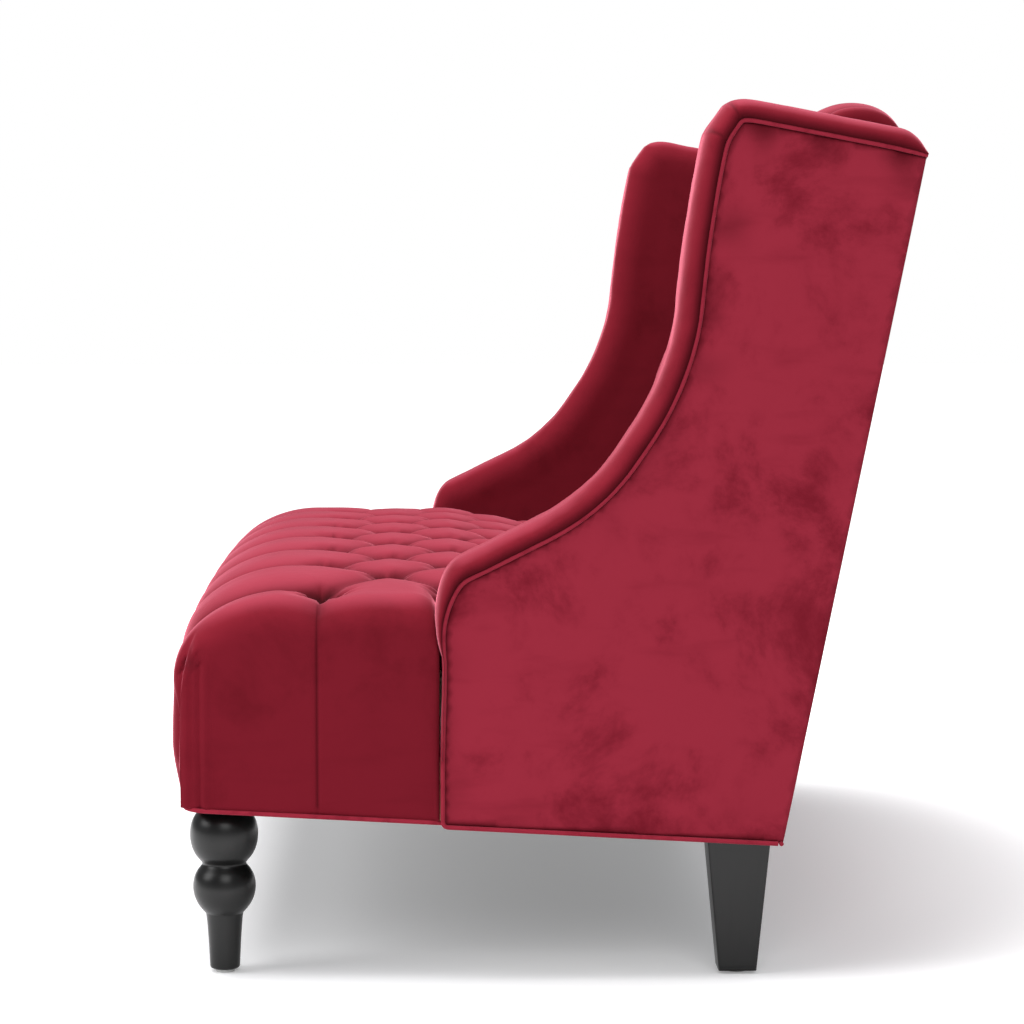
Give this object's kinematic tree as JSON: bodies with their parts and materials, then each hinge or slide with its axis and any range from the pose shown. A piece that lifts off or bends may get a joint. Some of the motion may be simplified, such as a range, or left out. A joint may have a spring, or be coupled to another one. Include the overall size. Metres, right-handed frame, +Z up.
{
  "type": "high back settee",
  "caption": "High back settee with scooped wing arms, a tight T shaped tufted seat, a rolled tufted back, welted outside panels, turned front legs and square tapered rear legs.",
  "frame": {"origin": "on the floor, under the middle of the settee's box", "axes": "+X runs along the width, to the right of someone facing the back, +Y points to the rear and +Z is up; the sitter faces -Y"},
  "size_m": [1.275, 0.854, 1.0055],
  "materials": {
    "velvet": "deep red cotton velvet with a soft nap",
    "welt_velvet": "the same velvet, sewn over cord",
    "black_lacquer": "turned and planed wood in satin black",
    "glide_plastic": "pale nylon",
    "bolt_steel": "zinc plated",
    "dust_cover_cloth": "thin black non woven cloth",
    "jute_webbing": "woven jute",
    "foam": "upholstery foam under wadding",
    "burlap": "coarse sheet",
    "plywood": "unfinished",
    "hardwood": "unfinished"
  },
  "bodies": {
    "root": {"back_cushion": "velvet", "back_deck": "burlap", "back_foam_core": "foam", "back_lower_rail": "hardwood", "back_middle_rail": "hardwood", "back_post_left": "hardwood", "back_post_right": "hardwood", "back_top_rail": "hardwood", "back_uprights": "hardwood", "back_webbing_cross": "jute_webbing", "back_webbing_upright": "jute_webbing", "back_welt": "welt_velvet", "corner_blocks": "hardwood", "dust_cover": "dust_cover_cloth", "front_legs": "black_lacquer", "front_rail": "hardwood", "leg_bolts": "bolt_steel", "leg_glides": "glide_plastic", "outside_back": "velvet", "outside_panel_left": "velvet", "outside_panel_right": "velvet", "rear_legs": "black_lacquer", "rear_rail": "hardwood", "seat_centre_rail": "hardwood", "seat_cushion": "velvet", "seat_deck": "burlap", "seat_foam_core": "foam", "seat_webbing_cross": "jute_webbing", "seat_webbing_long": "jute_webbing", "seat_welt": "welt_velvet", "side_rail_left": "hardwood", "side_rail_right": "hardwood", "side_welt_left": "welt_velvet", "side_welt_right": "welt_velvet", "wing_board_inner_left": "plywood", "wing_board_inner_right": "plywood", "wing_board_outer_left": "plywood", "wing_board_outer_right": "plywood", "wing_pad_left": "velvet", "wing_pad_right": "velvet", "wing_spacers_left": "hardwood", "wing_spacers_right": "hardwood"}
  },
  "joints": []
}
